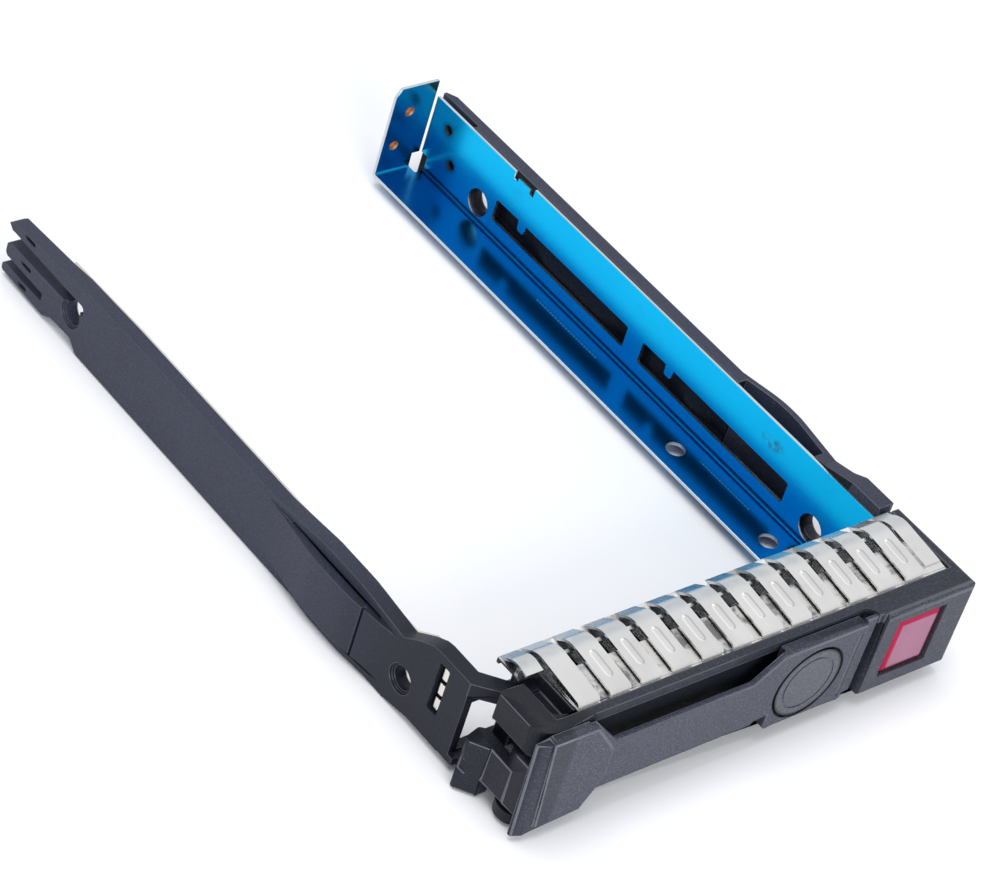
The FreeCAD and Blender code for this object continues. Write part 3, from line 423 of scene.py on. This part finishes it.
FINISH = {
    "bezel": moulded("bezel_black", (0.028, 0.031, 0.042), (0.046, 0.050, 0.066),
                     GRAIN, 0.00005, 0.42, shadow=bezel_shadow),
    # The edge finishes paint highlight on the bezel, lever and guide edges, and shade on the
    # rail's edges.
    "bezel_edge": edge_light_and_shade("bezel_edge_black", (0.05, 0.054, 0.068)),
    "lever": moulded("lever_black", (0.036, 0.039, 0.054), (0.056, 0.060, 0.081),
                     GRAIN, 0.00005, 0.40, shadow=lever_shadow),
    "lever_edge": edge_light_and_shade("lever_edge_black", (0.08, 0.086, 0.108)),
    "rail": moulded("rail_black", RAIL_DARK, RAIL_LIGHT,
                    GRAIN, 0.00003, 0.40, sparkle=0.22, shadow=rail_shadow),
    "rail_edge": edge_light_and_shade("rail_edge_black", (0.024, 0.027, 0.038)),
    "guide": moulded("guide_black", RAIL_DARK, RAIL_LIGHT, GRAIN, 0.00003, 0.40, sparkle=0.3),
    "guide_edge": edge_light_and_shade("guide_edge_black", (0.05, 0.055, 0.075)),
    # Near-black painted shade for the guide's inner faces.
    "guide_inside_shade": moulded("rail_inside_shade", (0.004, 0.005, 0.008), (0.009, 0.011, 0.017),
                            2600.0, 0.00003, 0.45, 0.1),
    "lens": moulded("ring_black", (0.040, 0.043, 0.056), (0.060, 0.064, 0.082),
                    GRAIN, 0.00002, 0.30, 0.3, shadow=ring_shadow),
    "blue": blue_steel(),
    "cut_edge": bare_steel("cut_edge", (0.62, 0.65, 0.66), 0.3),
    "copper": bare_steel("thread_copper", (0.55, 0.17, 0.04), 0.35),
    "spring": bare_steel("spring_steel", (0.78, 0.75, 0.70), 0.24),
    "finger": finger_steel(),
    "liner": bare_steel("liner_steel", (0.66, 0.65, 0.60), 0.3),
    "screw": bare_steel("screw_steel", (0.62, 0.62, 0.62), 0.3),
    "button_side": plain("button_crimson", (0.36, 0.004, 0.05), 0.35, gloss=0.15),
    "button_face": plain("button_pink", (0.315, 0.14, 0.21), 0.5, gloss=0.2),
    "board": plain("board_green", (0.02, 0.09, 0.04), 0.5),
    "lamp": plain("lamp_white", (0.8, 0.8, 0.76), 0.4),
    "dark": plain("dark_plastic", (0.02, 0.02, 0.022), 0.5),
    "pipe": plain("light_pipe", (0.7, 0.73, 0.75), 0.2),
}


# ------------------------------------------------------------- dressing

MERGE = 2e-6


def pick(obj):
    """Select one piece alone and make it the active one."""
    bpy.ops.object.select_all(action="DESELECT")
    obj.select_set(True)
    bpy.context.view_layer.objects.active = obj


def pick_faces(obj, wanted):
    """Go into edit mode with only the wanted faces selected."""
    pick(obj)
    bpy.ops.object.mode_set(mode="EDIT")
    bpy.ops.mesh.select_mode(type="FACE")
    bpy.ops.mesh.select_all(action="DESELECT")
    bpy.ops.object.mode_set(mode="OBJECT")
    for face in obj.data.polygons:
        face.select = wanted(face)
    bpy.ops.object.mode_set(mode="EDIT")


def face_finish(obj, finish, wanted):
    """Another finish on the faces whose middle, in millimetres, passes the test."""
    obj.data.materials.append(FINISH[finish])
    for face in obj.data.polygons:
        if wanted(*(part / MM for part in face.center)):
            face.material_index = len(obj.data.materials) - 1


def new_piece(name, mesh, *finishes):
    """An object at the origin, with its finishes in place of the mesh's own."""
    mesh.materials.clear()
    for finish in finishes:
        mesh.materials.append(FINISH[finish])
    obj = bpy.data.objects.new(name, mesh)
    bpy.context.scene.collection.objects.link(obj)
    return obj


def merged(node, least):
    """A CAD node's mesh in whole faces, its long sharp edges marked for rounding."""
    mesh = frame["nodes"][node].data.copy()
    work = bmesh.new()
    work.from_mesh(mesh)
    bmesh.ops.remove_doubles(work, verts=work.verts, dist=MERGE)
    bmesh.ops.dissolve_limit(work, angle_limit=math.radians(1.0), verts=work.verts,
                             edges=work.edges, delimit={"NORMAL"})
    weight = work.edges.layers.float.new("bevel_weight_edge")
    for line in work.edges:
        if len(line.link_faces) == 2 and line.calc_length() > least * MM \
                and line.calc_face_angle() > math.radians(40.0):
            line[weight] = 1.0
    skin = BVHTree.FromBMesh(work)
    work.to_mesh(mesh)
    work.free()
    return mesh, skin


def dressed(node, width, least, *finishes):
    """The CAD node again, its edges rounded where they are long enough, shown in its place.

    A second finish is for the rounding. Corners that it throws off the shape go back.
    """
    mesh, skin = merged(node, least)
    obj = new_piece(node + "_dress", mesh, *finishes)
    pick(obj)
    bevel = obj.modifiers.new("Edges", "BEVEL")
    bevel.width = width * MM
    bevel.segments = 2
    bevel.limit_method = "WEIGHT"
    bevel.use_clamp_overlap = False
    if len(finishes) > 1:
        bevel.material = 1
    bpy.ops.object.modifier_apply(modifier="Edges")
    for corner in obj.data.vertices:
        near, _, _, off = skin.find_nearest(corner.co)
        if off > 0.5 * width * MM:
            corner.co = near
    for face in obj.data.polygons:
        face.use_smooth = True
    obj.data.set_sharp_from_angle(angle=math.radians(50.0))
    even = obj.modifiers.new("Even", "WEIGHTED_NORMAL")
    even.weight = 90
    even.keep_sharp = True
    bpy.ops.object.modifier_apply(modifier="Even")
    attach(obj, BODY[node])
    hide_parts(node)
    return obj


# ------------------------------------------------------------- the caddy's pieces

def moulded_pieces():
    """Bezel, lever and the two rails' plastic; the guide gets painted shade inside, by the wall.
    """
    dressed("bezel_housing", 0.22, 1.0, "bezel", "bezel_edge")
    dressed("ejector_lever", 0.2, 1.0, "lever", "lever_edge")
    dressed("left_rail", 0.09, 0.25, "rail", "rail_edge")
    guide = dressed("right_guide", 0.1, 0.25, "guide", "guide_edge")
    # Painted shade on the guide's inner faces, by the wall.
    face_finish(guide, "guide_inside_shade",
                lambda x, y, z: x < WALL_OUT + 1.55 and z < 14.0 and -32.0 < y < 50.0)


def side_plate():
    """The blue plate, bare steel where its sheet was cut."""
    rounding, skin = 0.06, 0.05
    above_bend = FLANGE_TOP + 0.7

    def cut_face(x, y, z):
        wall = WALL_IN + skin < x < WALL_OUT - rounding and z > above_bend
        flange = FLANGE_UNDER + skin < z < FLANGE_TOP - rounding and y < TAB_FRONT - 0.65
        tab = TAB_FRONT + skin < y < TAB_BACK - rounding and z > above_bend
        return wall or flange or tab or x < FREE_EDGE + 0.03

    plate = dressed("right_rail_plate", rounding, 1.0, "blue")
    face_finish(plate, "cut_edge", cut_face)


def thread(name, x, z):
    """Copper toned threaded collar behind one of the tab's holes."""
    radius, bore, depth = 1.1, 0.55, 0.48
    bpy.ops.object.select_all(action="DESELECT")
    bpy.ops.mesh.primitive_cylinder_add(
        vertices=24, radius=radius * MM, depth=depth * MM, end_fill_type="NGON",
        location=(x * MM, (TAB_BACK + 0.02 + depth / 2) * MM, z * MM),
        rotation=(math.pi / 2, 0, 0))
    collar = bpy.context.object
    collar.name = name
    bpy.ops.object.transform_apply(location=True, rotation=True, scale=True)
    pick_faces(collar, lambda face: len(face.vertices) > 4)
    bpy.ops.mesh.inset(thickness=(radius - bore) * MM, use_individual=True,
                       use_even_offset=False)
    bpy.ops.mesh.bridge_edge_loops()
    bpy.ops.mesh.select_all(action="SELECT")
    bpy.ops.mesh.normals_make_consistent(inside=False)
    bpy.ops.object.mode_set(mode="OBJECT")
    collar.data.materials.append(FINISH["copper"])
    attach(collar, "caddy_frame")


def release_button():
    """The button, its paler face framed by a crimson border."""
    border = 0.32
    button = dressed("release_button", 0.08, 1.0, "button_side")
    button.data.materials.append(FINISH["button_face"])
    pick_faces(button, lambda face: face.center.y / MM < FRONT + 0.25)
    bpy.ops.mesh.inset(thickness=border * MM)
    button.active_material_index = 1
    bpy.ops.object.material_slot_assign()
    bpy.ops.object.mode_set(mode="OBJECT")


def button_coil():
    """The return spring, merged, on the body that it rides with."""
    mesh = frame["nodes"]["button_spring"].data.copy()
    work = bmesh.new()
    work.from_mesh(mesh)
    bmesh.ops.remove_doubles(work, verts=work.verts, dist=MERGE)
    work.to_mesh(mesh)
    work.free()
    coil = new_piece("button_spring_dress", mesh, "spring")
    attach(coil, BODY["button_spring"])
    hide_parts("button_spring")
    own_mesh(coil)


def pieces_as_built():
    """The pieces that keep their CAD shape get only their finish."""
    for node, finish in (
            ("bezel_back_plate", "bezel"), ("cover_screws", "screw"), ("frame_screws", "screw"),
            ("emi_finger_strip", "finger"), ("side_ground_clip", "spring"),
            ("left_liner", "liner"), ("flex_circuit", "dark"), ("ring_lens", "lens"),
            ("ring_light_guide", "pipe"), ("lever_pivot_pin", "screw"),
            ("lever_spring", "spring"), ("led_board", "board"), ("board_leds", "lamp"),
            ("board_connector", "dark")):
        for slot in frame["nodes"][node].material_slots:
            slot.material = FINISH[finish]


# ------------------------------------------------------------- studio

def floor():
    """Plain white ground just under the caddy."""
    bpy.ops.object.select_all(action="DESELECT")
    bpy.ops.mesh.primitive_plane_add(size=6.0, location=(0, 0, -0.0002))
    ground = bpy.context.object
    ground.name = "floor"
    paint = Paint("floor_white", Roughness=0.6, Specular_IOR_Level=0.2)
    cloud = paint.noise(3.0, 1.0, 0.5)
    ground.data.materials.append(paint.drive(
        Base_Color=paint.blend(cloud, (0.955, 0.955, 0.96), (0.965, 0.965, 0.97))))


def sky():
    """Soft grey light all round, and white where it is seen, mirrored or looked through."""
    world = bpy.data.worlds.new("studio")
    bpy.context.scene.world = world
    world.use_nodes = True
    nodes = Nodes(world.node_tree)
    seen = nodes.node("LightPath", "Is Camera Ray")
    mirrored, through = nodes.outlets(seen, "Is Glossy Ray", "Is Transmission Ray")
    white = nodes.calc("ADD", seen, mirrored + through, clamp=True)
    colour = nodes.blend(white, (0.545, 0.565, 0.62), (1, 1, 1))
    back = world.node_tree.nodes["Background"]
    world.node_tree.links.new(colour.socket, back.inputs["Color"])
    back.inputs["Strength"].default_value = 1.0


def lamp(name, place, size, watts):
    """Soft square lamp that faces the caddy."""
    data = bpy.data.lights.new(name, "AREA")
    data.size = size
    data.energy = watts
    obj = bpy.data.objects.new(name, data)
    bpy.context.scene.collection.objects.link(obj)
    obj.location = place
    aim = Vector((0, 0, 0.005))
    obj.rotation_euler = (aim - Vector(place)).to_track_quat("-Z", "Y").to_euler()


def camera():
    """From the front left and above, rolled to the right."""
    place = Vector((-312.6, -266.25, 330.1)) * MM
    aim = Vector((1.63, -3.65, 7.0)) * MM
    roll = math.radians(18.49)
    look = (aim - place).normalized()
    level = look.cross(Vector((0, 0, 1))).normalized()
    upright = level.cross(look)
    right = math.cos(roll) * level + math.sin(roll) * upright
    up = math.cos(roll) * upright - math.sin(roll) * level
    data = bpy.data.cameras.new("camera")
    data.lens = 137.59
    data.sensor_width = 36.0
    data.clip_start = 0.01
    obj = bpy.data.objects.new("camera", data)
    turn = Matrix((right, up, -look)).transposed().to_4x4()
    obj.matrix_world = Matrix.Translation(place) @ turn
    bpy.context.scene.collection.objects.link(obj)
    bpy.context.scene.camera = obj


moulded_pieces()
side_plate()
for name, x, z in TAB_THREADS:
    thread(name, x, z)
release_button()
pieces_as_built()
button_coil()

floor()
sky()
lamp("key", (-0.25, 0.1, 1.7), 1.2, 15.5)
lamp("front", (-0.45, -1.35, 0.48), 0.9, 16.0)
camera()
bpy.context.scene.view_settings.view_transform = "Standard"
